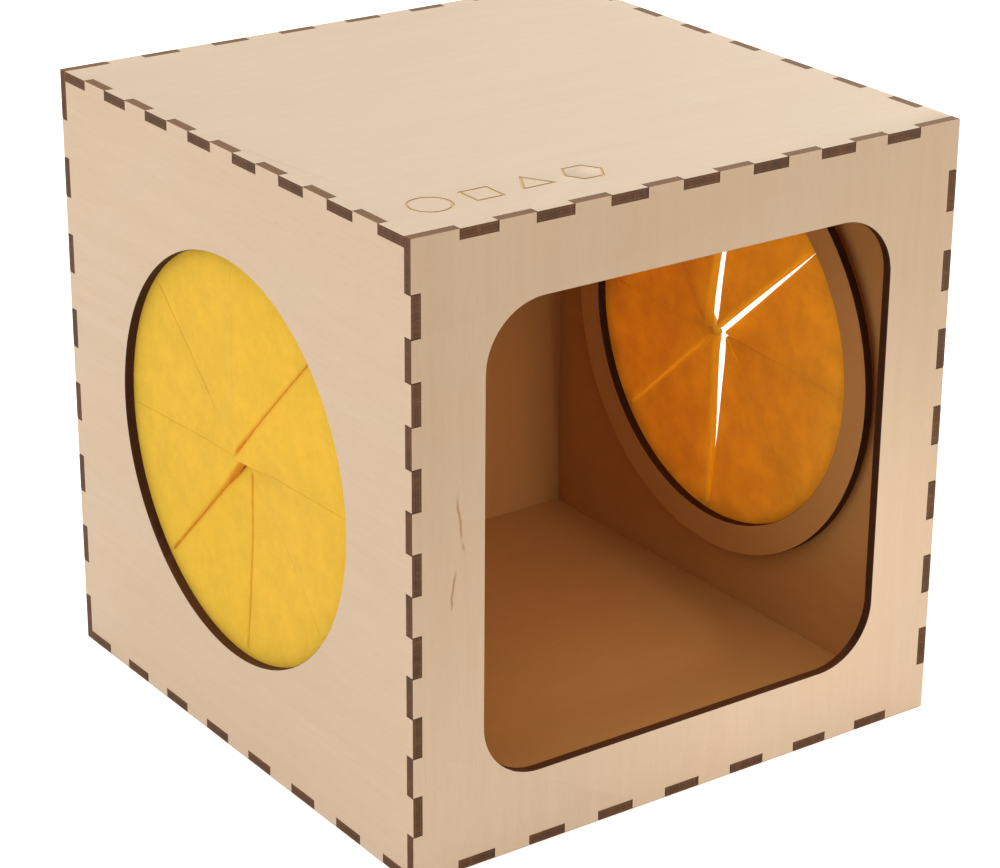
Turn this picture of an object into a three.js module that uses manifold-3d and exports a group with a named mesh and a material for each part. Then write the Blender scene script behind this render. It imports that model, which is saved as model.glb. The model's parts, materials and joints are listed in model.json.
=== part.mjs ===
// Sensory box: a cube of laser-cut plywood held together by finger joints. Each side wall has a
// round hand hole, closed by a felt disc that is slit into eight flaps and clamped behind the
// hole by a plywood ring. The front wall has a rounded window.
//
// Millimetres, +Z up. The origin is the centre of the base, and the window faces -Y.
import * as THREE from "three";
import { mergeVertices } from "three/addons/utils/BufferGeometryUtils.js";
import Module from "manifold-3d";

// Driving dimensions.
const SIDE = 250; // the cube's outer edge
const PLY = 4; // plywood thickness
const FINGERS = 15; // equal fingers along each inner edge
const FIT = 0.1; // clearance that the laser's kerf leaves between glued panels
const HOLE_RADIUS = 82; // hand hole, and the bore of the ring behind it
const RING_RADIUS = 95; // outside of the clamping ring
const FELT = 4; // felt thickness
const FELT_RADIUS = 90; // outside of the felt disc, hidden between the wall and the ring
const GLUE_GAP = 0.3; // on each side of the felt, and between a flap and its rim
const FLAPS = 8; // flaps that the slits make in each disc
const SLIT_REACH = 80; // centre of the disc to the end of each slit
const SLIT_WIDTH = 1.2; // running clearance between two flaps
const DISC_TURN = { left: -2, right: -3 }; // degrees that each disc sits off true in its hole
const WINDOW_SIDE = 187.5;
const WINDOW_CORNER = 25;
const ENGRAVED_DEPTH = 0.4;
const ENGRAVED_LINE = 0.8; // width of an engraved line
const MOTIF_RADIUS = 8.5; // each engraved outline's outer radius
const MOTIF_PITCH = 22; // centre to centre of the engraved outlines
const MOTIF_START = [-99, -98]; // centre of the first outline, from the top panel's middle
const MOTIF_CIRCLE_SIDES = 40; // facets of the engraved circle

// Worked out from them.
const HALF = SIDE / 2;
const CAVITY_HALF = HALF - PLY; // from the centre to a panel's inner face
const INNER = CAVITY_HALF - FIT; // a panel's own square, clear of its neighbours' faces
const FINGER = (2 * CAVITY_HALF) / FINGERS;
const FLAP_ANGLE = (2 * Math.PI) / FLAPS;
const HINGE_REACH = SLIT_REACH * Math.cos(FLAP_ANGLE / 2); // centre to the line a flap folds on
const ROUND_STEPS = 64; // half the facets of a hole or ring
const CORNER_STEPS = 16; // facets of each window corner
const BARREL_STEPS = 8; // facets of a flap's rounded folding edge
const SAME_POINT = FIT / 4; // outline points closer together than this count as one
const QUARTER_TURN = Math.PI / 2;

const plywood = new THREE.MeshStandardMaterial({ color: 0xdcc3a4, roughness: 0.72, metalness: 0 });
const felt = new THREE.MeshStandardMaterial({ color: 0xf0c143, roughness: 0.95, metalness: 0 });

const wasm = await Module();
wasm.setup();

const box = new THREE.Group();

// ---------------------------------------------------------------- shapes and solids

function solidOf(geometry) {
  geometry.deleteAttribute("normal");
  geometry.deleteAttribute("uv");
  const merged = mergeVertices(geometry);
  const vertProperties = new Float32Array(merged.attributes.position.array);
  const triVerts = new Uint32Array(merged.index.array);
  return new wasm.Manifold(new wasm.Mesh({ numProp: 3, vertProperties, triVerts }));
}

function geometryOf(solid) {
  const mesh = solid.getMesh();
  const geometry = new THREE.BufferGeometry();
  geometry.setAttribute("position", new THREE.BufferAttribute(mesh.vertProperties, mesh.numProp));
  geometry.setIndex(new THREE.BufferAttribute(mesh.triVerts, 1));
  return geometry;
}

function plate(shape, depth, curveSegments = ROUND_STEPS) {
  return new THREE.ExtrudeGeometry(shape, { depth, curveSegments, bevelEnabled: false });
}

function circle(radius) {
  return new THREE.Path().absarc(0, 0, radius, 0, 2 * Math.PI);
}

function polygon(sides, radius, turn = 0) {
  const corners = [];
  for (let i = 0; i < sides; i++) {
    const angle = turn + (i * 2 * Math.PI) / sides;
    corners.push(new THREE.Vector2(radius * Math.cos(angle), radius * Math.sin(angle)));
  }
  return new THREE.Shape(corners);
}

function roundedSquare(side, corner) {
  const reach = side / 2 - corner; // centre to the middle of each corner arc
  const path = new THREE.Path();
  for (let i = 0; i < 4; i++) {
    const start = i * QUARTER_TURN;
    const x = reach * Math.SQRT2 * Math.cos(start + QUARTER_TURN / 2);
    const y = reach * Math.SQRT2 * Math.sin(start + QUARTER_TURN / 2);
    path.absarc(x, y, corner, start, start + QUARTER_TURN);
  }
  return path.closePath();
}

// ---------------------------------------------------------------- finger-jointed panels

// One side's outline as [distance along, distance out] pairs. Tabs reach the outer face, and
// the notches between them stop short of the neighbour's inner face.
function fingeredSide({ evenTabs, ownsCorners }) {
  const points = [];
  for (let i = 0; i < FINGERS; i++) {
    const isTab = (i % 2 === 0) === evenTabs;
    const inset = isTab ? FIT / 2 : -FIT / 2;
    const end = ownsCorners ? HALF : INNER;
    const from = i === 0 ? -end : -CAVITY_HALF + i * FINGER + inset;
    const to = i === FINGERS - 1 ? end : -CAVITY_HALF + (i + 1) * FINGER - inset;
    const out = isTab ? HALF : INNER;
    points.push([from, out], [to, out]);
  }
  return points;
}

// A panel's outline, walked anticlockwise from its lower edge. sides[0] is the pattern of the
// lower and upper edges, sides[1] that of the two upright ones.
function panelShape(sides) {
  const corners = [];
  for (let turn = 0; turn < 4; turn++) {
    for (const [along, out] of fingeredSide(sides[turn % 2])) {
      const point = new THREE.Vector2(along, -out);
      point.rotateAround(new THREE.Vector2(), turn * QUARTER_TURN);
      if (!corners.length || corners.at(-1).distanceTo(point) > SAME_POINT) corners.push(point);
    }
  }
  if (corners[0].distanceTo(corners.at(-1)) < SAME_POINT) corners.pop();
  return new THREE.Shape(corners);
}

const CORNERED = { evenTabs: true, ownsCorners: true };
const EVEN = { evenTabs: true, ownsCorners: false };
const ODD = { evenTabs: false, ownsCorners: false };

// Adds a panel whose local +Z is its outward normal, with its inner face on its own plane.
function addPanel(name, geometry, position, tilt, turn) {
  const mesh = new THREE.Mesh(geometry, plywood);
  mesh.name = name;
  mesh.position.set(...position);
  mesh.rotation.set(tilt, 0, turn, "ZYX");
  box.add(mesh);
}

function frontWall() {
  const shape = panelShape([CORNERED, CORNERED]);
  shape.holes.push(roundedSquare(WINDOW_SIDE, WINDOW_CORNER));
  return plate(shape, PLY, CORNER_STEPS);
}

function backWall() {
  return plate(panelShape([CORNERED, CORNERED]), PLY);
}

function sideWall() {
  const shape = panelShape([ODD, ODD]);
  shape.holes.push(circle(HOLE_RADIUS));
  return plate(shape, PLY);
}

function bottomPanel() {
  return plate(panelShape([ODD, EVEN]), PLY);
}

// A row of plain outlines, circle, square, triangle and hexagon, engraved near the front edge.
function engravedOutlines() {
  const outlines = [
    { sides: MOTIF_CIRCLE_SIDES, turn: 0 },
    { sides: 4, turn: QUARTER_TURN / 2 },
    { sides: 3, turn: QUARTER_TURN },
    { sides: 6, turn: 0 },
  ];
  return outlines.map(({ sides, turn }, i) => {
    const inside = MOTIF_RADIUS - ENGRAVED_LINE / Math.cos(Math.PI / sides);
    const shape = polygon(sides, MOTIF_RADIUS, turn);
    shape.holes.push(polygon(sides, inside, turn));
    const cutter = plate(shape, PLY);
    cutter.translate(MOTIF_START[0] + i * MOTIF_PITCH, MOTIF_START[1], PLY - ENGRAVED_DEPTH);
    return solidOf(cutter);
  });
}

function topPanel() {
  const uncut = solidOf(bottomPanel());
  const cut = engravedOutlines().reduce((panel, outline) => panel.subtract(outline), uncut);
  return geometryOf(cut);
}

// ---------------------------------------------------------------- felt hand holes

// The part of the felt disc that stays clamped: a ring whose inside is the polygon of fold lines.
function feltRim() {
  const shape = new THREE.Shape().absarc(0, 0, FELT_RADIUS, 0, 2 * Math.PI);
  const clearOfHinge = HINGE_REACH + FELT / 2 + GLUE_GAP;
  shape.holes.push(polygon(FLAPS, clearOfHinge / Math.cos(FLAP_ANGLE / 2)));
  return plate(shape, FELT);
}

// One flap, pointing along local +X from the disc's centre. Its folding edge is rounded about
// the hinge line. Its two sides stand back from the slits, and run straight near the fold, so
// that a folded flap stays clear of its neighbours.
function feltFlap() {
  const round = FELT / 2;
  const profile = new THREE.Shape();
  profile.moveTo(0, 0);
  profile.lineTo(HINGE_REACH, 0);
  profile.absarc(HINGE_REACH, round, round, -QUARTER_TURN, QUARTER_TURN);
  profile.lineTo(0, FELT);
  const strip = plate(profile, SIDE, BARREL_STEPS);
  strip.translate(0, 0, -HALF);
  strip.rotateX(QUARTER_TURN);

  const slope = Math.tan(FLAP_ANGLE / 2);
  const tip = SLIT_WIDTH / 2 / Math.sin(FLAP_ANGLE / 2);
  const halfWidth = (HINGE_REACH - round) * slope;
  const shoulder = tip + halfWidth / slope;
  const outline = new THREE.Shape([
    new THREE.Vector2(tip, 0),
    new THREE.Vector2(shoulder, -halfWidth),
    new THREE.Vector2(SLIT_REACH, -halfWidth),
    new THREE.Vector2(SLIT_REACH, halfWidth),
    new THREE.Vector2(shoulder, halfWidth),
  ]);
  const pastFaces = FELT; // how far the cutting plate runs past each face of the felt
  const outlinePlate = plate(outline, FELT + 2 * pastFaces);
  outlinePlate.translate(0, 0, -pastFaces);
  return geometryOf(solidOf(strip).intersect(solidOf(outlinePlate)));
}

function clampRing() {
  const shape = new THREE.Shape().absarc(0, 0, RING_RADIUS, 0, 2 * Math.PI);
  shape.holes.push(circle(HOLE_RADIUS));
  return plate(shape, PLY);
}

// Fills one hand hole: felt against the wall's inner face, then the ring. The group's local +Z
// points into the box, and its origin is the hole's centre on the wall's inner face.
function addHandHole(side, sign) {
  const hole = new THREE.Group();
  hole.position.set(sign * CAVITY_HALF, 0, HALF);
  hole.rotation.set(QUARTER_TURN, 0, -sign * QUARTER_TURN, "ZYX");

  const disc = new THREE.Group();
  disc.position.z = GLUE_GAP;
  disc.rotation.z = THREE.MathUtils.degToRad(DISC_TURN[side]);
  hole.add(disc);

  const rim = new THREE.Mesh(feltRim(), felt);
  rim.name = `${side}_felt_rim`;
  disc.add(rim);

  for (let i = 0; i < FLAPS; i++) {
    const flap = new THREE.Mesh(feltFlap(), felt);
    flap.name = `${side}_felt_flap_${i + 1}`;
    flap.rotation.z = (i + 0.5) * FLAP_ANGLE;
    disc.add(flap);
  }

  const ring = new THREE.Mesh(clampRing(), plywood);
  ring.name = `${side}_clamp_ring`;
  ring.position.z = FELT + 2 * GLUE_GAP;
  hole.add(ring);
  box.add(hole);
}

// ---------------------------------------------------------------- assembly

addPanel("front_wall", frontWall(), [0, -CAVITY_HALF, HALF], QUARTER_TURN, 0);
addPanel("back_wall", backWall(), [0, CAVITY_HALF, HALF], QUARTER_TURN, 2 * QUARTER_TURN);
addPanel("left_wall", sideWall(), [-CAVITY_HALF, 0, HALF], QUARTER_TURN, -QUARTER_TURN);
addPanel("right_wall", sideWall(), [CAVITY_HALF, 0, HALF], QUARTER_TURN, QUARTER_TURN);
addPanel("top_panel", topPanel(), [0, 0, SIDE - PLY], 0, 0);
addPanel("bottom_panel", bottomPanel(), [0, 0, PLY], 2 * QUARTER_TURN, 0);
addHandHole("left", -1);
addHandHole("right", 1);

export default box;
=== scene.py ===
"""Looks of the sensory box: a cube of laser-cut birch plywood with slit felt discs in its hand holes.

Metres, in the CAD model's frame: +Z up, the window faces -Y, and the base's centre is the origin.
"""
import json
import math
from collections import namedtuple

import bpy
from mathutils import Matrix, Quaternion, Vector, noise


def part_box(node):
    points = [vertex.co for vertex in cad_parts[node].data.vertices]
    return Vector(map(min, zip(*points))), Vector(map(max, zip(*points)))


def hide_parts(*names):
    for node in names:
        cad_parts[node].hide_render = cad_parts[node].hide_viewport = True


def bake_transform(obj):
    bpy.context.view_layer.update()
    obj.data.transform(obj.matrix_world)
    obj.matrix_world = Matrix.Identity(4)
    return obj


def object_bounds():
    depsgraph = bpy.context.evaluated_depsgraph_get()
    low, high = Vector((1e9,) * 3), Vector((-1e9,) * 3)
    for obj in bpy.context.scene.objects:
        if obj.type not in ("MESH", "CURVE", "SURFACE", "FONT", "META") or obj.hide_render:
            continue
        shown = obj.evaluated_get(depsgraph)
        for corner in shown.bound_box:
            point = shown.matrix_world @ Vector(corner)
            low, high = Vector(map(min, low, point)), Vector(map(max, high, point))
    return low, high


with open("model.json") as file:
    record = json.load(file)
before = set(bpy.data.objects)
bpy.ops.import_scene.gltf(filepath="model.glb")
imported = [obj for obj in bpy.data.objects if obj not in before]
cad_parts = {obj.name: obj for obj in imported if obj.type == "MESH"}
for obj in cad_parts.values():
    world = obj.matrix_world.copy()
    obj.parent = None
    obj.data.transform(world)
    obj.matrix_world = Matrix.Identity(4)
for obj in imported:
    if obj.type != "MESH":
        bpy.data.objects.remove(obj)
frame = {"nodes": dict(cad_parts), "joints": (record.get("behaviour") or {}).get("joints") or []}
cad_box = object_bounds()

MM = 0.001
SIDE = cad_box[1].z - cad_box[0].z
MIDDLE = (cad_box[0] + cad_box[1]) / 2
X, Y, Z = range(3)

# Camera, in sides of the cube.
CAMERA_EYE = Vector((-2.6595, -3.7456, 2.3425))
CAMERA_TARGET = Vector((0.005, 0.0, 0.427))
CAMERA_ROLL = math.radians(0.42)
CAMERA_LENS = 110.565
CAMERA_SENSOR = 36.0
CAMERA_CLIP = (0.01, 100)

# Light.
SKY_STRENGTH = 0.95
KEY_STRENGTH = 1.3
KEY_FROM = Vector((-0.85, -0.12, 0.95))
BACK_STRENGTH = 2.4
BACK_FROM = Vector((1.0, 0.25, 0.3))
FILL_POWER = 0.35
FILL_SIZE = 0.25
FILL_AT = Vector((0.30, -0.42, 0.05))
FILL_TO = Vector((0.10, -0.12, 0.02))
SNOOT_POWER = 8.0
SNOOT_CONE = math.radians(17)
SNOOT_SIZE = 0.06
SNOOT_AT = Vector((0.02, -0.75, 0.30))
SNOOT_TO = Vector((0.05, 0.11, 0.02))
SNOOT_BLEND = 1.0
SOFT_ANGLE = math.radians(70)
SKY_COLOUR = (1.0, 0.99, 0.975, 1.0)

# Floor.
FLOOR_REACH = 30.0
FLOOR_DROP = 0.2 * MM
FLOOR_COLOUR = (0.9, 0.895, 0.885, 1.0)
FLOOR_GLOW_COLOUR = (1.0, 1.0, 1.0, 1.0)
FLOOR_GLOW = 0.3
FLOOR_ROUGHNESS = 0.9
FLOOR_SPECULAR = 0.1

# Plywood.
EDGE_BREAK = 0.16 * MM
WELD = 0.005 * MM
SHARP_ANGLE = math.radians(40)

# Felt. Angles are in the plane of a disc, and depths run into the box.
FLAPS = 8
SECTOR = 2 * math.pi / FLAPS
SLIT_REACH = 80 * MM
FELT_THICKNESS = 4.4 * MM
SEAM = 0.04 * MM
TIP_WIDTH = 0.6 * MM
TIP_ROUND = (1.5 * MM, 1.5 * MM)  # width and depth of a flap's rounded tip
SHUT_ROUND = (1.1 * MM, 0.12 * MM)  # the same beside a slit that is shut
OPEN_ROUND = (3.0 * MM, 2.1 * MM)  # the same beside a slit that stands open by LOOSE
LOOSE = 3.0 * MM
SLIT_END = 1.5 * MM
TIPS_FREE = 8 * MM  # within this radius each flap lies on its own
TIPS_JOIN = 28 * MM  # beyond this radius joined slits lie flush
SLIT_LIGHT_REACH = 2.5 * MM  # how far in from an open slit the felt takes painted light
SLIT_LIGHT_FROM = 0.1  # how many millimetres a slit stands open before its edges take painted light
SLIT_LIGHT_OVER = 0.3  # and how many more until they take it fully
PAINTED_SLIT_LIGHT = "thin"
WAVE = 0.3 * MM
WAVES_PER_METRE = 45
CALM = 12 * MM  # how far inside the slits' ends the waves reach their full height
EDGE_SHARES = (0, 0.06, 0.25, 0.55, 1)
ACROSS = 18
TIP_ROWS = 18
FOLD_ROWS_FROM = 58 * MM
FOLD_ROW = 1.5 * MM
FOLD_ROWS = 14
END_ROWS = (0.4 * MM, 0.1 * MM, 0)  # how far before the slits' ends
CLAMPED_ROWS = (81 * MM, 84 * MM)
RIM_ROW = 1 * MM  # how far before the disc's own edge


# ---------------------------------------------------------------- node trees


class Shader:
    """One material's node tree, built a step at a time. Each step returns an output socket."""

    def __init__(self, name):
        self.material = bpy.data.materials.new(name)
        self.material.use_nodes = True
        self.tree = self.material.node_tree
        self.tree.nodes.clear()
        place = self.add("ShaderNodeTexCoord").outputs["Object"]
        self.place = self.scaled(place, (1 / MM, 1 / MM, 1 / MM))
        self.along = self.split(self.place)

    def feed(self, socket, value):
        if isinstance(value, bpy.types.NodeSocket):
            self.tree.links.new(value, socket)
        else:
            socket.default_value = value

    def add(self, kind, inputs=None, **settings):
        node = self.tree.nodes.new(kind)
        for name, value in settings.items():
            setattr(node, name, value)
        for name, value in (inputs or {}).items():
            self.feed(node.inputs[name], value)
        return node

    def math(self, operation, a, b=0.0, clamp=False):
        node = self.add("ShaderNodeMath", operation=operation, use_clamp=clamp)
        self.feed(node.inputs[0], a)
        self.feed(node.inputs[1], b)
        return node.outputs[0]

    def split(self, vector):
        node = self.add("ShaderNodeSeparateXYZ", {"Vector": vector})
        return [node.outputs[i] for i in range(3)]

    def scaled(self, vector, scale):
        node = self.add("ShaderNodeVectorMath", operation="MULTIPLY")
        self.feed(node.inputs[0], vector)
        self.feed(node.inputs[1], scale)
        return node.outputs[0]

    def noise(self, sizes, detail=2.0, roughness=0.5, distortion=0.0, seed=0.0):
        """Noise from 0 to 1 whose blotches have these sizes in millimetres, along X, Y and Z."""
        vector = self.scaled(self.place, tuple(1 / s for s in sizes))
        inputs = {"Vector": vector, "W": seed, "Scale": 1.0, "Detail": detail}
        inputs |= {"Roughness": roughness, "Distortion": distortion}
        return self.add("ShaderNodeTexNoise", inputs, noise_dimensions="4D").outputs[0]

    def ramp(self, value, start, end, low=0.0, high=1.0):
        """low up to start, high from end on, and a smooth step in between."""
        inputs = {"Value": value, "From Min": start, "From Max": end, "To Min": low, "To Max": high}
        node = self.add("ShaderNodeMapRange", inputs, interpolation_type="SMOOTHSTEP")
        return node.outputs[0]

    def mix(self, factor, a, b, blend="MIX"):
        node = self.add("ShaderNodeMix", data_type="RGBA", blend_type=blend)
        self.feed(node.inputs[0], factor)
        self.feed(node.inputs[6], a)
        self.feed(node.inputs[7], b)
        return node.outputs[2]

    def total(self, *values):
        result = values[0]
        for value in values[1:]:
            result = self.math("ADD", result, value)
        return result

    def bump(self, height, distance):
        return self.add("ShaderNodeBump", {"Height": height, "Distance": distance}).outputs[0]

    def finish(self, surface):
        output = self.add("ShaderNodeOutputMaterial")
        self.feed(output.inputs["Surface"], surface)
        return self.material


def tone(red, green, blue):
    """A colour given in sRGB, 0 to 255, as a linear colour."""

    def linear(value):
        value /= 255
        return value / 12.92 if value < 0.04045 else ((value + 0.055) / 1.055) ** 2.4

    return (linear(red), linear(green), linear(blue), 1.0)


def shaded(colour, factor):
    return tuple(c * factor for c in colour[:3]) + (1.0,)


# ---------------------------------------------------------------- plywood


# Veneer tones of each panel's outer face, the front wall's darker and warmer than the rest. The inner
# faces get darker, warmer tones that stand in for the warm shade inside the box: painted shade, with
# its own tone for the back wall, the right wall with its ring, and the floor, the back wall's the
# deepest.
OUTER = {
    "front_wall": tone(170, 146, 119),
    "back_wall": tone(183, 159, 133),
    "left_wall": tone(183, 161, 137),
    "right_wall": tone(181, 157, 132),
    "top_panel": tone(187, 168, 145),
    "bottom_panel": tone(186, 160, 135),
}
INNER_PAINTED_SHADE = tone(214, 161, 94)
INNER_RIGHT_PAINTED_SHADE = tone(188, 139, 80)
INNER_BACK_PAINTED_SHADE = tone(181, 127, 70)
INNER_FLOOR_PAINTED_SHADE = tone(203, 153, 90)
SHADE_OF_INNER = {
    "back_wall": INNER_BACK_PAINTED_SHADE,
    "right_wall": INNER_RIGHT_PAINTED_SHADE,
    "right_clamp_ring": INNER_RIGHT_PAINTED_SHADE,
    "bottom_panel": INNER_FLOOR_PAINTED_SHADE,
}
FRONT_PAINTED_BOUNCE = tone(186, 162, 136)  # the front wall's sheet is painted paler towards its foot: painted light from the floor's bounce
GRAIN = {
    "front_wall": Z,
    "back_wall": Z,
    "left_wall": Y,
    "right_wall": Y,
    "top_panel": X,
    "bottom_panel": X,
    "left_clamp_ring": Y,
    "right_clamp_ring": Y,
}
PINK = (1.012, 0.985, 0.985, 1.0)
ENGRAVED = tone(205, 172, 112)
STREAK = tone(140, 100, 62)
CHAR = tone(83, 50, 22)
CHAR_LINE = tone(44, 24, 10)
# pale char of the striae, and the painted light on cut edges that face up
CHAR_PALE_AND_LIT = tone(131, 94, 55)
OPENING_EDGE_PAINTED_SHADE = (0.45, 0.28, 0.14, 1.0)  # how much darker the cut edges of the openings and rings are painted: painted shade in these recesses
OPENINGS_REACH = 112  # millimetres from the middle: openings and rings within, finger joints beyond
OPENINGS_FADE = 5
FRONT_STREAKS = [  # across, up, length, lean, width, in millimetres
    (-103.0, 140.0, 26.0, -0.14, 0.9),
    (-106.0, 115.0, 18.0, 0.10, 0.8),
]
STREAK_DEPTH = 0.85
STREAK_WOBBLE = 3.0
PAINTED_BOUNCE_SPAN = (10, 190)  # millimetres above the base

# Sizes are in millimetres, for the veneer along the grain and across it.
MIDTONES = (0.3, 0.7)
FIGURE_SIZE = (95, 26)
BAND_SIZE = (150, 5.5)
FIBRE_SIZE = (11, 0.7)
PORE_SIZE = (5, 0.36)
TINT_SIZE = (60, 40)
FIGURE_DEPTH = 0.15
BAND_DEPTH = 0.3
FIBRE_DEPTH = 0.25
PORE_DEPTH = 0.35
PORE_SPAN = (0.66, 0.74)
FIBRE_RELIEF = 0.6
VENEER_DARK = (0.92, 0.89, 0.85, 1.0)
PORE_DARK = (0.72, 0.66, 0.58, 1)
STRIA_WIDTH = 0.5
STRIA_LENGTH = 5.0
STRIA_PALE = 0.35
SOOT_SIZE = 9
SOOT_DEPTH = 0.5
FACE_TURN = (0.80, 0.95)  # how far a surface turns along the thickness to count as a face
INNER_SHARE = (0.45, 0.55)  # of the thickness, where the outer face's tone gives way to the inner one
UP_LIT_TURN = (0.6, 0.9)  # how far a cut edge turns upwards to be painted paler: painted light on edges that face up
UP_PAINTED_LIGHT = 0.45
GROOVE_TOP = (0.05, 0.15)  # millimetres below the face, where the engraving's tone starts
GROOVE_FLOOR = (1.0, 0.9)  # and where it ends
GROOVE_GRAIN = 0.5
GROOVE_DARK = 0.85
PLYWOOD_ROUGHNESS = (0.58, 0.72)
PLYWOOD_SPECULAR = 0.2
PLYWOOD_RELIEF = 0.035 * MM

# The cut edge's colours, at shares of the thickness from the outer face.
PLIES = [
    (0.0, CHAR_LINE),
    (0.07, CHAR),
    (0.30, shaded(CHAR, 1.12)),
    (0.36, CHAR_LINE),
    (0.42, shaded(CHAR, 0.86)),
    (0.60, shaded(CHAR, 0.92)),
    (0.66, shaded(CHAR_LINE, 1.1)),
    (0.72, shaded(CHAR, 1.05)),
    (0.93, CHAR),
    (1.0, CHAR_LINE),
]


def veneer(shader, grain, thin, outer, inner, inside):
    """The face of the plywood: soft figure along the grain, fine fibres and short dark pores."""
    across = 3 - grain - thin

    def sizes(along, side):
        result = [side, side, side]
        result[grain] = along
        result[across] = side
        return result

    figure = shader.noise(sizes(*FIGURE_SIZE), detail=3, roughness=0.45, seed=4.4)
    bands = shader.noise(sizes(*BAND_SIZE), detail=4, roughness=0.6, distortion=0.4, seed=7.2)
    fibres = shader.noise(sizes(*FIBRE_SIZE), detail=3, roughness=0.6, seed=3.7)
    pores = shader.noise(sizes(*PORE_SIZE), detail=1, seed=4.9)
    tint = shader.noise(sizes(*TINT_SIZE), detail=2, seed=6.1)

    amount = shader.total(
        shader.ramp(figure, *MIDTONES, 0, FIGURE_DEPTH),
        shader.ramp(bands, *MIDTONES, 0, BAND_DEPTH),
        shader.ramp(fibres, *MIDTONES, 0, FIBRE_DEPTH),
    )
    base = shader.mix(inside, outer, inner)
    deep = shader.mix(1.0, base, VENEER_DARK, "MULTIPLY")
    colour = shader.mix(amount, base, deep)
    colour = shader.mix(shader.ramp(tint, 0.35, 0.65), colour, PINK, "MULTIPLY")
    dash = shader.ramp(pores, *PORE_SPAN, 0, PORE_DEPTH)
    colour = shader.mix(dash, colour, shader.mix(1.0, base, PORE_DARK, "MULTIPLY"))
    height = shader.math("SUBTRACT", shader.math("MULTIPLY", fibres, FIBRE_RELIEF), dash)
    return colour, height


def streak(shader, across, along, length, lean, width):
    """A thin mineral streak in the front wall's veneer, centred on across and along."""
    wobble = shader.noise((9, 9, 9), detail=2, seed=8.8)
    up = shader.math("SUBTRACT", shader.along[Z], along)
    drift = shader.math("MULTIPLY", up, lean)
    side = shader.math("SUBTRACT", shader.along[X], across)
    side = shader.math("SUBTRACT", side, drift)
    side = shader.math("ADD", side, shader.math("MULTIPLY", wobble, STREAK_WOBBLE))
    near = shader.ramp(shader.math("ABSOLUTE", side), 0.0, width, 1, 0)
    inside = shader.ramp(shader.math("ABSOLUTE", up), length * 0.25, length * 0.5, 1, 0)
    broken = shader.ramp(shader.noise((2.0, 2.0, 6), detail=2, seed=9.3), 0.25, 0.45)
    return shader.math("MULTIPLY", shader.math("MULTIPLY", near, inside), broken)


def cut_edge(shader, thin, share):
    """The laser-cut edge: three scorched plies, with darker lines at the glue and at both faces."""
    ramp = shader.add("ShaderNodeValToRGB", {"Fac": share})
    elements = ramp.color_ramp.elements
    for place, colour in PLIES[1:-1]:
        elements.new(place).color = colour
    elements[0].color = PLIES[0][1]
    elements[-1].color = PLIES[-1][1]

    sizes = [STRIA_WIDTH] * 3
    sizes[thin] = STRIA_LENGTH
    striae = shader.noise(sizes, detail=2, seed=11.1)
    soot = shader.noise((SOOT_SIZE,) * 3, detail=3, seed=12.5)
    colour = shader.mix(shader.ramp(soot, 0.4, 0.75, 0, SOOT_DEPTH), ramp.outputs[0], CHAR_LINE)
    pale = shader.math("MULTIPLY", shader.ramp(striae, 0.5, 0.75), STRIA_PALE)
    colour = shader.mix(pale, colour, CHAR_PALE_AND_LIT)
    return colour, striae


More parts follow.
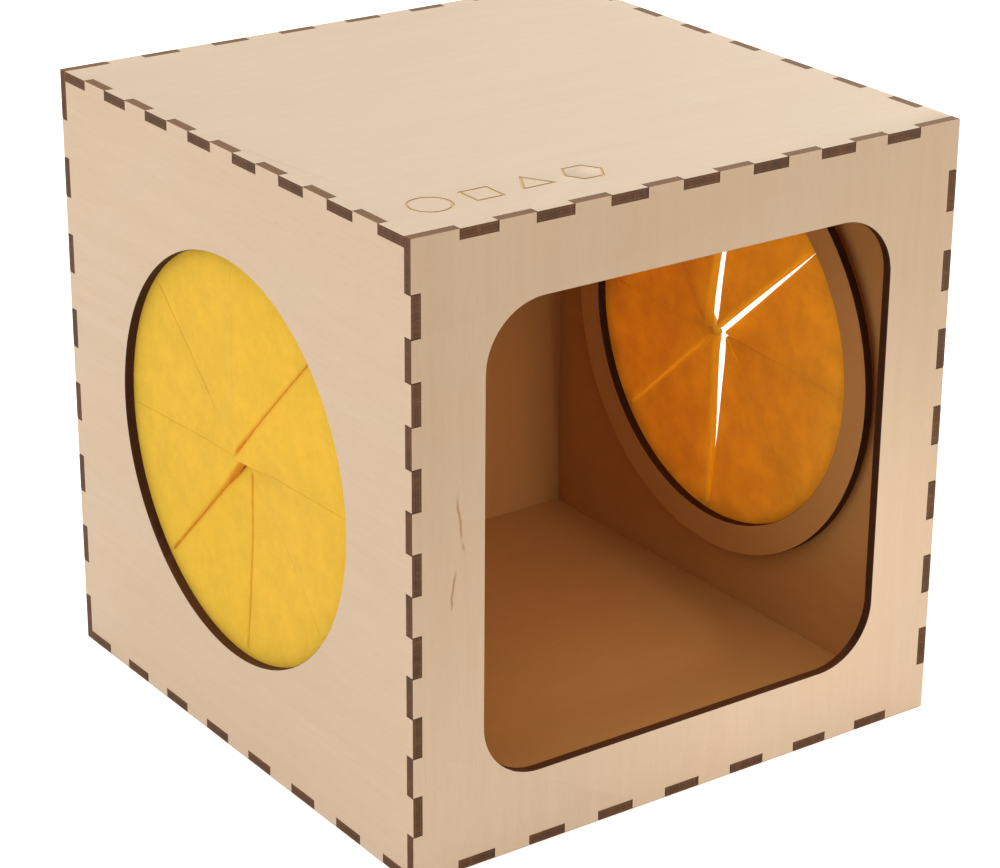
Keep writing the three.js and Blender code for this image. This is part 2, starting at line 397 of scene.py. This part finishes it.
def plywood(node):
    """One panel's or ring's plywood: veneer on both faces and scorched plies on the cut edges."""
    low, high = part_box(node)
    size = high - low
    thin = min(range(3), key=lambda axis: size[axis])
    on_high_side = low[thin] + high[thin] > 2 * MIDDLE[thin]
    outer_plane = high[thin] if on_high_side else low[thin]

    shader = Shader(f"plywood_{node}")
    depth = shader.math("ABSOLUTE", shader.math("SUBTRACT", shader.along[thin], outer_plane / MM))
    share = shader.math("DIVIDE", depth, size[thin] / MM, clamp=True)
    normal = shader.split(shader.add("ShaderNodeNewGeometry").outputs["True Normal"])
    face = shader.ramp(shader.math("ABSOLUTE", normal[thin]), *FACE_TURN)
    inside = shader.ramp(share, *INNER_SHARE)

    # the inner face's tone is painted shade; the rings, inside the box, take it on both faces
    inner = SHADE_OF_INNER.get(node, INNER_PAINTED_SHADE)
    outer = OUTER.get(node, inner)
    # painted light: the front wall turns paler towards its foot, where the floor's bounce falls
    if node == "front_wall":
        outer = shader.mix(shader.ramp(shader.along[Z], *PAINTED_BOUNCE_SPAN, 1, 0), outer, FRONT_PAINTED_BOUNCE)
    colour, height = veneer(shader, GRAIN[node], thin, outer, inner, inside)
    if node == "front_wall":
        for across, along, length, lean, width in FRONT_STREAKS:
            mask = streak(shader, across, along, length, lean, width)
            colour = shader.mix(shader.math("MULTIPLY", mask, STREAK_DEPTH), colour, STREAK)

    edge, striae = cut_edge(shader, thin, share)
    # painted light: cut edges that face up are painted paler
    up = shader.ramp(normal[Z], *UP_LIT_TURN, 0, UP_PAINTED_LIGHT)
    edge = shader.mix(up, edge, CHAR_PALE_AND_LIT)
    reach = []
    for axis in range(3):
        if axis != thin:
            from_middle = shader.math("SUBTRACT", shader.along[axis], MIDDLE[axis] / MM)
            reach.append(shader.math("ABSOLUTE", from_middle))
    beyond = OPENINGS_REACH + OPENINGS_FADE
    middle = shader.ramp(shader.math("MAXIMUM", *reach), OPENINGS_REACH, beyond, 1, 0)
    # painted shade: the cut edges of the openings and rings are darkened
    edge = shader.mix(middle, edge, shader.mix(1.0, edge, OPENING_EDGE_PAINTED_SHADE, "MULTIPLY"))
    colour = shader.mix(face, edge, colour)
    if node == "top_panel":
        under_face = shader.ramp(depth, *GROOVE_TOP)
        over_core = shader.ramp(depth, *GROOVE_FLOOR)
        sunk = shader.math("MULTIPLY", under_face, over_core)
        sunk = shader.math("MULTIPLY", sunk, middle)
        grainy = shader.noise((GROOVE_GRAIN,) * 3, detail=2, seed=7.7)
        burnt = shader.mix(shader.ramp(grainy, *MIDTONES), ENGRAVED, shaded(ENGRAVED, GROOVE_DARK))
        colour = shader.mix(sunk, colour, burnt)
    height = shader.add("ShaderNodeMix", {0: face, 2: striae, 3: height}).outputs[0]
    inputs = {
        "Base Color": colour,
        "Roughness": shader.ramp(height, 0.2, 0.8, *PLYWOOD_ROUGHNESS),
        "Specular IOR Level": PLYWOOD_SPECULAR,
        "Normal": shader.bump(height, PLYWOOD_RELIEF),
    }
    return shader.finish(shader.add("ShaderNodeBsdfPrincipled", inputs).outputs[0])


def smooth_by_angle():
    """A node group that smooths faces and keeps edges over SHARP_ANGLE sharp."""
    group = bpy.data.node_groups.new("smooth_by_angle", "GeometryNodeTree")
    group.interface.new_socket("Geometry", in_out="INPUT", socket_type="NodeSocketGeometry")
    group.interface.new_socket("Geometry", in_out="OUTPUT", socket_type="NodeSocketGeometry")
    nodes, links = group.nodes, group.links
    start, end = nodes.new("NodeGroupInput"), nodes.new("NodeGroupOutput")
    angle = nodes.new("GeometryNodeInputMeshEdgeAngle")
    sharp = nodes.new("FunctionNodeCompare")
    sharp.operation = "GREATER_THAN"
    sharp.inputs[1].default_value = SHARP_ANGLE
    faces = nodes.new("GeometryNodeSetShadeSmooth")
    edges = nodes.new("GeometryNodeSetShadeSmooth")
    edges.domain = "EDGE"
    edges.inputs["Shade Smooth"].default_value = False
    links.new(angle.outputs["Unsigned Angle"], sharp.inputs[0])
    links.new(start.outputs[0], faces.inputs["Geometry"])
    links.new(faces.outputs[0], edges.inputs["Geometry"])
    links.new(sharp.outputs[0], edges.inputs["Selection"])
    links.new(edges.outputs[0], end.inputs[0])
    return group


def finish_panel(node, smoothing):
    """The CAD panel with its edges just broken, as a laser leaves them, in its own plywood."""
    panel = frame["nodes"][node]
    weld = panel.modifiers.new("weld", "WELD")
    weld.merge_threshold = WELD
    bevel = panel.modifiers.new("edge_break", "BEVEL")
    bevel.width = EDGE_BREAK
    bevel.segments = 1
    bevel.limit_method = "ANGLE"
    bevel.angle_limit = SHARP_ANGLE
    smooth = panel.modifiers.new("smooth", "NODES")
    smooth.node_group = smoothing
    panel.data.materials.clear()
    panel.data.materials.append(plywood(node))


# ---------------------------------------------------------------- felt


# How one flap lies, and the slit after it. lift is how far the tip has moved into the box, opening
# is the slit's width at the tips, half way and at its far end, and veer is how far it misses the
# centre: all in millimetres. swing is how far its end lies off true, in degrees. Past the tips, the
# two sides of a joined slit lie flush. short is how many millimetres of the tip another slit cut away.
Flap = namedtuple("Flap", "lift opening veer swing joined short", defaults=(0.0,))
FELT_SHAPE = {
    "left": [
        Flap(0.5, (0.2, 0.15, 0.15), 0.0, 0.0, True, 2.2),
        Flap(-1.0, (0.05, 0.05, 0.05), 0.0, 0.0, True, 2.2),
        Flap(-2.5, (0.35, 0.25, 0.2), -1.9, 0.0, True),
        Flap(-1.5, (0.1, 0.08, 0.08), 0.0, 0.0, True),
        Flap(2.5, (0.05, 0.05, 0.05), 0.0, 0.0, True),
        Flap(5.0, (0.3, 0.2, 0.15), -1.0, 0.0, True),
        Flap(4.8, (0.8, 0.25, 0.2), -0.6, 0.0, True),
        Flap(1.5, (0.1, 0.1, 0.1), 0.0, 0.0, True),
    ],
    "right": [
        Flap(-1.5, (1.3, 1.2, 0.7), 2.1, 1.6, False),
        Flap(3.7, (2.2, 2.6, 1.7), 2.0, 0.0, False),
        Flap(6.7, (0.1, 0.1, 0.1), 0.0, 0.0, True),
        Flap(3.5, (0.15, 0.15, 0.15), 0.0, 0.0, True),
        Flap(2.5, (0.4, 0.3, 0.3), -2.3, -2.0, True),
        Flap(2.5, (2.6, 0.6, 0.2), -1.2, -1.2, False),
        Flap(-1.1, (0.05, 0.05, 0.05), 0.0, 0.0, True),
        Flap(-1.5, (0.1, 0.1, 0.1), 0.0, 0.0, True),
    ],
}
FELT_YELLOW = tone(241, 210, 62)
FELT_DEEP = tone(236, 201, 53)
FELT_GLOW = tone(255, 188, 0)
FELT_GLOW_DEEP = tone(214, 126, 0)
FELT_SLIT_LIGHT = tone(255, 222, 120)
FELT_LETS_THROUGH = 0.46
SLIT_LIGHT_LETS_THROUGH = 0.75
CLOUD_SIZE = 13
PATCH_SIZE = 34
MAT_SIZE = 1.3
FUZZ_SIZE = 0.35
DENSE_SIZE = 8
CLOUD_DEPTH = 0.35
PATCH_DEPTH = 0.25
MAT_DEPTH = 0.4
DENSE_SPAN = (0.35, 0.65)
DENSE_DEPTHS = (0.45, 0.35, 0.2)
MAT_RELIEF = 0.7
FUZZ_RELIEF = 0.5
FELT_RELIEF = 0.25 * MM
FELT_ROUGHNESS = (0.85, 0.97)
FELT_SPECULAR = 0.15
FELT_SHEEN = 0.15
FELT_SHEEN_ROUGHNESS = 0.5


def felt():
    """Dense wool felt: matted fibres, faint clouds, a soft sheen and some light let through."""
    shader = Shader("felt_yellow")
    clouds = shader.noise((CLOUD_SIZE,) * 3, detail=4, roughness=0.55, seed=1.9)
    patches = shader.noise((PATCH_SIZE,) * 3, detail=2, seed=3.3)
    mat = shader.noise((MAT_SIZE,) * 3, detail=5, roughness=0.65, distortion=1.6, seed=5.5)
    fuzz = shader.noise((FUZZ_SIZE,) * 3, detail=3, roughness=0.7, distortion=0.8, seed=7.1)

    amount = shader.total(
        shader.ramp(clouds, *MIDTONES, 0, CLOUD_DEPTH),
        shader.ramp(patches, *MIDTONES, 0, PATCH_DEPTH),
        shader.ramp(mat, *MIDTONES, 0, MAT_DEPTH),
    )
    colour = shader.mix(amount, FELT_YELLOW, FELT_DEEP)
    matted = shader.math("MULTIPLY", mat, MAT_RELIEF)
    height = shader.total(matted, shader.math("MULTIPLY", fuzz, FUZZ_RELIEF))
    normal = shader.bump(height, FELT_RELIEF)
    inputs = {
        "Base Color": colour,
        "Roughness": shader.ramp(mat, 0.2, 0.8, *FELT_ROUGHNESS),
        "Specular IOR Level": FELT_SPECULAR,
        "Sheen Weight": FELT_SHEEN,
        "Sheen Roughness": FELT_SHEEN_ROUGHNESS,
        "Normal": normal,
    }
    surface = shader.add("ShaderNodeBsdfPrincipled", inputs).outputs[0]
    thick = shader.noise((DENSE_SIZE,) * 3, detail=3, roughness=0.6, seed=9.7)
    dense = shader.total(
        shader.ramp(clouds, *DENSE_SPAN, 0, DENSE_DEPTHS[0]),
        shader.ramp(thick, *DENSE_SPAN, 0, DENSE_DEPTHS[1]),
        shader.ramp(mat, *MIDTONES, 0, DENSE_DEPTHS[2]),
    )
    # painted light: beside open slits the felt turns paler and lets more light through
    thin = shader.add("ShaderNodeAttribute", attribute_name=PAINTED_SLIT_LIGHT).outputs["Fac"]
    glow = shader.mix(thin, shader.mix(dense, FELT_GLOW, FELT_GLOW_DEEP), FELT_SLIT_LIGHT)
    through = shader.add("ShaderNodeBsdfTranslucent", {"Color": glow, "Normal": normal}).outputs[0]
    share = shader.ramp(thin, 0, 1, FELT_LETS_THROUGH, SLIT_LIGHT_LETS_THROUGH)
    mixed = shader.add("ShaderNodeMixShader", {"Fac": share, 1: surface, 2: through})
    return shader.finish(mixed.outputs[0])


class Disc:
    """One felt disc's place, its flaps' folds, and the lines that its slits are cut along."""

    def __init__(self, side):
        self.side = side
        low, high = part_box(f"{side}_felt_rim")
        self.centre = (low + high) / 2
        self.radius = (high.z - low.z) / 2
        self.into = Vector((math.copysign(1, -self.centre.x), 0, 0))
        self.first = self.fold(0).normalized()
        self.second = self.into.cross(self.first)
        self.shape = FELT_SHAPE[side]
        self.apexes = [self.apex(index) for index in range(FLAPS)]

    def fold(self, index):
        """The middle of a flap's fold line, from the disc's centre."""
        name = f"{self.side}_flap_{index + 1}_fold"
        joint = next(j for j in frame["joints"] if j["name"] == name)
        return Vector(joint["pos_m"]) - self.centre

    def sides(self, index):
        """The turns of a flap's two slits' far ends, from the middle of the flap."""
        low = -SECTOR / 2 + math.radians(self.shape[index - 1].swing)
        high = SECTOR / 2 + math.radians(self.shape[index].swing)
        return low, high

    def slit_line(self, index):
        """The far end of the slit after a flap, and the way from there past the centre."""
        turn = SECTOR * index + self.sides(index)[1]
        end = Vector((math.cos(turn), math.sin(turn))) * SLIT_REACH
        abreast = Vector((-math.sin(turn), math.cos(turn))) * self.shape[index].veer * MM
        return end, abreast - end

    def apex(self, index):
        """Where a flap's two slits would cross, from the disc's centre."""
        start, way = self.slit_line(index - 1)
        other_start, other_way = self.slit_line(index)
        along = (other_start - start).cross(other_way) / way.cross(other_way)
        return start + way * along

    def spot(self, index, turn, radius):
        """A place on a flap, from the disc's centre. Its rows shrink towards its apex."""
        turn += SECTOR * index
        inward = max(1 - radius / SLIT_REACH, 0)
        return Vector((math.cos(turn), math.sin(turn))) * radius + self.apexes[index] * inward

    def point(self, spot, depth):
        return self.centre + self.first * spot.x + self.second * spot.y + self.into * depth


def smooth(value):
    value = min(max(value, 0), 1)
    return value * value * (3 - 2 * value)


def slit_gap(opening, radius):
    """How wide a slit stands open at a radius: a curve through its three widths, closed at its end."""
    tips, middle, end = (width * MM for width in opening)
    t = min(radius / SLIT_REACH, 1)
    width = tips * (1 - t) * (1 - 2 * t) + middle * 4 * t * (1 - t) + end * t * (2 * t - 1)
    return SEAM + (width - SEAM) * near_end(radius)


def near_end(radius):
    """1 along a slit, down to 0 in a round end."""
    return math.sqrt(min(max((SLIT_REACH - radius) / SLIT_END, 0), 1))


def flap_lift(disc, index, across, radius):
    """A flap's own lift near its tip. Past that, a joined edge meets its neighbour half way."""
    own = disc.shape[index].lift
    far = smooth((radius - TIPS_FREE) / (TIPS_JOIN - TIPS_FREE))
    slit, neighbour = (index, index + 1) if across > 0 else (index - 1, index - 1)
    if not disc.shape[slit].joined:
        return own
    half_way = (disc.shape[neighbour % FLAPS].lift - own) / 2
    return own + half_way * far * across * across


def edge_rows(start, end, inset, count):
    """Stations from start to end, close together over the rounded edge at the start."""
    close = [start + inset * share for share in EDGE_SHARES]
    rest = [close[-1] + (end - close[-1]) * (i + 1) / count for i in range(count)]
    return close + rest


def edge_size(opening):
    """How wide and how deep an edge is rounded: a little where a slit is shut, fully where open."""
    loose = min(opening[0] * MM / LOOSE, 1)
    width = SHUT_ROUND[0] + (OPEN_ROUND[0] - SHUT_ROUND[0]) * loose
    depth = SHUT_ROUND[1] + (OPEN_ROUND[1] - SHUT_ROUND[1]) * loose
    return width, depth


def worn(distance, width, depth):
    """How much an edge's rounding takes off half the felt's thickness, this far from it."""
    back = min(max(1 - distance / width, 0), 1)
    return depth * (1 - math.sqrt(1 - back * back))


def slit_light_share(opening, distance):
    """How much painted light the felt takes beside a slit, from 0 to 1: paler and letting more light
    through, as if lit through the slit. A slit that is shut takes none.
    """
    slit_open_share = min(max((opening[0] - SLIT_LIGHT_FROM) / SLIT_LIGHT_OVER, 0), 1)
    return slit_open_share * max(1 - distance / SLIT_LIGHT_REACH, 0) ** 2


def flap_section(disc, index, radius, tip_radius):
    """The points round one flap at a radius, far face then near face, and how much painted slit light
    each takes.
    """
    after, before = disc.shape[index].opening, disc.shape[index - 1].opening
    fold = disc.fold(index).length
    turn_low, turn_high = disc.sides(index)
    low = turn_low + slit_gap(before, radius) / 2 / radius
    high = turn_high - slit_gap(after, radius) / 2 / radius
    width = (high - low) * radius
    fade = near_end(radius)
    rounds = [edge_size(opening) for opening in (before, after)]
    insets = [min(size[0], width / 3) for size in rounds]
    left = [insets[0] * share for share in EDGE_SHARES]
    right = [width - insets[1] * share for share in reversed(EDGE_SHARES)]
    inner = [left[-1] + (right[0] - left[-1]) * (i + 1) / ACROSS for i in range(ACROSS - 1)]

    top, bottom, thin = [], [], []
    for station in left + inner + right:
        turn = low + station / radius
        spot = disc.spot(index, turn, radius)
        middle = SECTOR * index
        along = spot.x * math.cos(middle) + spot.y * math.sin(middle)
        across = turn / (SECTOR / 2)
        raised = math.sin(math.pi / 2 * max((fold - along) / fold, 0))
        depth = flap_lift(disc, index, across, radius) * MM * raised
        calm = min(max((SLIT_REACH - radius) / CALM, 0), 1)
        depth += WAVE * calm * noise.noise(disc.point(spot, 0) * WAVES_PER_METRE)
        far_side = width - station
        taken = max(
            worn(station, insets[0], rounds[0][1]) * fade,
            worn(far_side, insets[1], rounds[1][1]) * fade,
            worn(radius - tip_radius, *TIP_ROUND),
        )
        half = FELT_THICKNESS / 2 - taken
        top.append(disc.point(spot, depth + half))
        bottom.append(disc.point(spot, depth - half))
        thin.append(fade * max(slit_light_share(before, station), slit_light_share(after, far_side)))
    return top, bottom, thin


def flap_mesh(name, disc, index):
    """One eighth of the felt disc: a flap, and the part behind its fold that stays clamped."""
    opening = (disc.shape[index].opening[0] + disc.shape[index - 1].opening[0]) / 2 * MM
    tip = (TIP_WIDTH + opening) / SECTOR + disc.shape[index].short * MM
    radii = edge_rows(tip, FOLD_ROWS_FROM, TIP_ROUND[0], TIP_ROWS)
    radii += [FOLD_ROWS_FROM + FOLD_ROW * (i + 1) for i in range(FOLD_ROWS)]
    radii += [SLIT_REACH - before_end for before_end in END_ROWS]
    radii += [*CLAMPED_ROWS, disc.radius - RIM_ROW, disc.radius]
    points, slit_lights, faces = [], [], []
    for radius in radii:
        top, bottom, thin = flap_section(disc, index, radius, tip)
        points += top + bottom[::-1]
        slit_lights += thin + thin[::-1]
    loop = len(top) * 2
    for row in range(len(radii) - 1):
        for i in range(loop):
            a, b = row * loop + i, row * loop + (i + 1) % loop
            faces.append((a, a + loop, b + loop, b))
    last = (len(radii) - 1) * loop
    for i in range(len(top) - 1):
        a, b, c, d = i, i + 1, loop - 2 - i, loop - 1 - i
        faces.append((a, b, c, d))
        faces.append((last + d, last + c, last + b, last + a))
    mesh = bpy.data.meshes.new(name)
    mesh.from_pydata(points, [], faces)
    mesh.polygons.foreach_set("use_smooth", [True] * len(mesh.polygons))
    mesh.attributes.new(PAINTED_SLIT_LIGHT, "FLOAT", "POINT").data.foreach_set("value", slit_lights)
    mesh.update()
    return mesh


def add_flap(disc, index, material):
    name = f"{disc.side}_felt_{index + 1}"
    piece = bpy.data.objects.new(name, flap_mesh(name, disc, index))
    bpy.context.scene.collection.objects.link(piece)
    piece.data.materials.append(material)
    fold = disc.fold(index)
    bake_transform(piece)
    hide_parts(f"{disc.side}_felt_flap_{index + 1}", f"{disc.side}_felt_rim")


# ---------------------------------------------------------------- studio


def place_lamp(name, light, way, at=(0, 0, 0)):
    """The lamp for a light, shining this way."""
    lamp = bpy.data.objects.new(name, light)
    lamp.location = at
    lamp.rotation_mode = "QUATERNION"
    lamp.rotation_quaternion = way.to_track_quat("-Z", "Y")
    bpy.context.scene.collection.objects.link(lamp)
    return lamp


def add_sun(name, strength, comes_from):
    light = bpy.data.lights.new(name, "SUN")
    light.energy = strength
    light.angle = SOFT_ANGLE
    place_lamp(name, light, -comes_from)


def add_fill():
    """A small soft light outside the window, for the edge of the floor inside."""
    light = bpy.data.lights.new("fill", "AREA")
    light.energy = FILL_POWER
    light.size = FILL_SIZE
    lamp = place_lamp("fill", light, FILL_TO - FILL_AT, FILL_AT)
    lamp.visible_camera = False


def add_snoot():
    """A soft narrow beam through the window, on the floor and the back right corner inside."""
    light = bpy.data.lights.new("snoot", "SPOT")
    light.energy = SNOOT_POWER
    light.spot_size = SNOOT_CONE
    light.spot_blend = SNOOT_BLEND
    light.shadow_soft_size = SNOOT_SIZE
    lamp = place_lamp("snoot", light, SNOOT_TO - SNOOT_AT, SNOOT_AT)
    lamp.visible_camera = False


def add_sky():
    world = bpy.data.worlds.new("studio")
    world.use_nodes = True
    sky = world.node_tree.nodes["Background"]
    sky.inputs["Color"].default_value = SKY_COLOUR
    sky.inputs["Strength"].default_value = SKY_STRENGTH
    bpy.context.scene.world = world


def add_floor():
    reach = FLOOR_REACH
    z = cad_box[0].z - FLOOR_DROP
    corners = [(-reach, -reach, z), (reach, -reach, z), (reach, reach, z), (-reach, reach, z)]
    mesh = bpy.data.meshes.new("floor")
    mesh.from_pydata(corners, [], [(0, 1, 2, 3)])
    floor = bpy.data.objects.new("floor", mesh)
    bpy.context.scene.collection.objects.link(floor)
    shader = Shader("floor_white")
    inputs = {
        "Base Color": FLOOR_COLOUR,
        "Roughness": FLOOR_ROUGHNESS,
        "Specular IOR Level": FLOOR_SPECULAR,
        "Emission Color": FLOOR_GLOW_COLOUR,
        "Emission Strength": FLOOR_GLOW,
    }
    shader_output = shader.add("ShaderNodeBsdfPrincipled", inputs).outputs[0]
    mesh.materials.append(shader.finish(shader_output))


def add_camera():
    data = bpy.data.cameras.new("camera")
    data.lens = CAMERA_LENS
    data.sensor_width = CAMERA_SENSOR
    data.clip_start, data.clip_end = CAMERA_CLIP
    camera = bpy.data.objects.new("camera", data)
    camera.location = CAMERA_EYE * SIDE
    aim = (CAMERA_TARGET - CAMERA_EYE).to_track_quat("-Z", "Y")
    camera.rotation_mode = "QUATERNION"
    camera.rotation_quaternion = aim @ Quaternion((0, 0, 1), CAMERA_ROLL)
    bpy.context.scene.collection.objects.link(camera)
    bpy.context.scene.camera = camera


# ---------------------------------------------------------------- the object and its studio


smoothing = smooth_by_angle()
for node in GRAIN:
    finish_panel(node, smoothing)

felt_material = felt()
for side in ("left", "right"):
    disc = Disc(side)
    for index in range(FLAPS):
        add_flap(disc, index, felt_material)

add_sky()
add_sun("key", KEY_STRENGTH, KEY_FROM)
add_sun("back", BACK_STRENGTH, BACK_FROM)
add_fill()
add_snoot()
add_floor()
add_camera()
bpy.context.scene.view_settings.view_transform = "Standard"
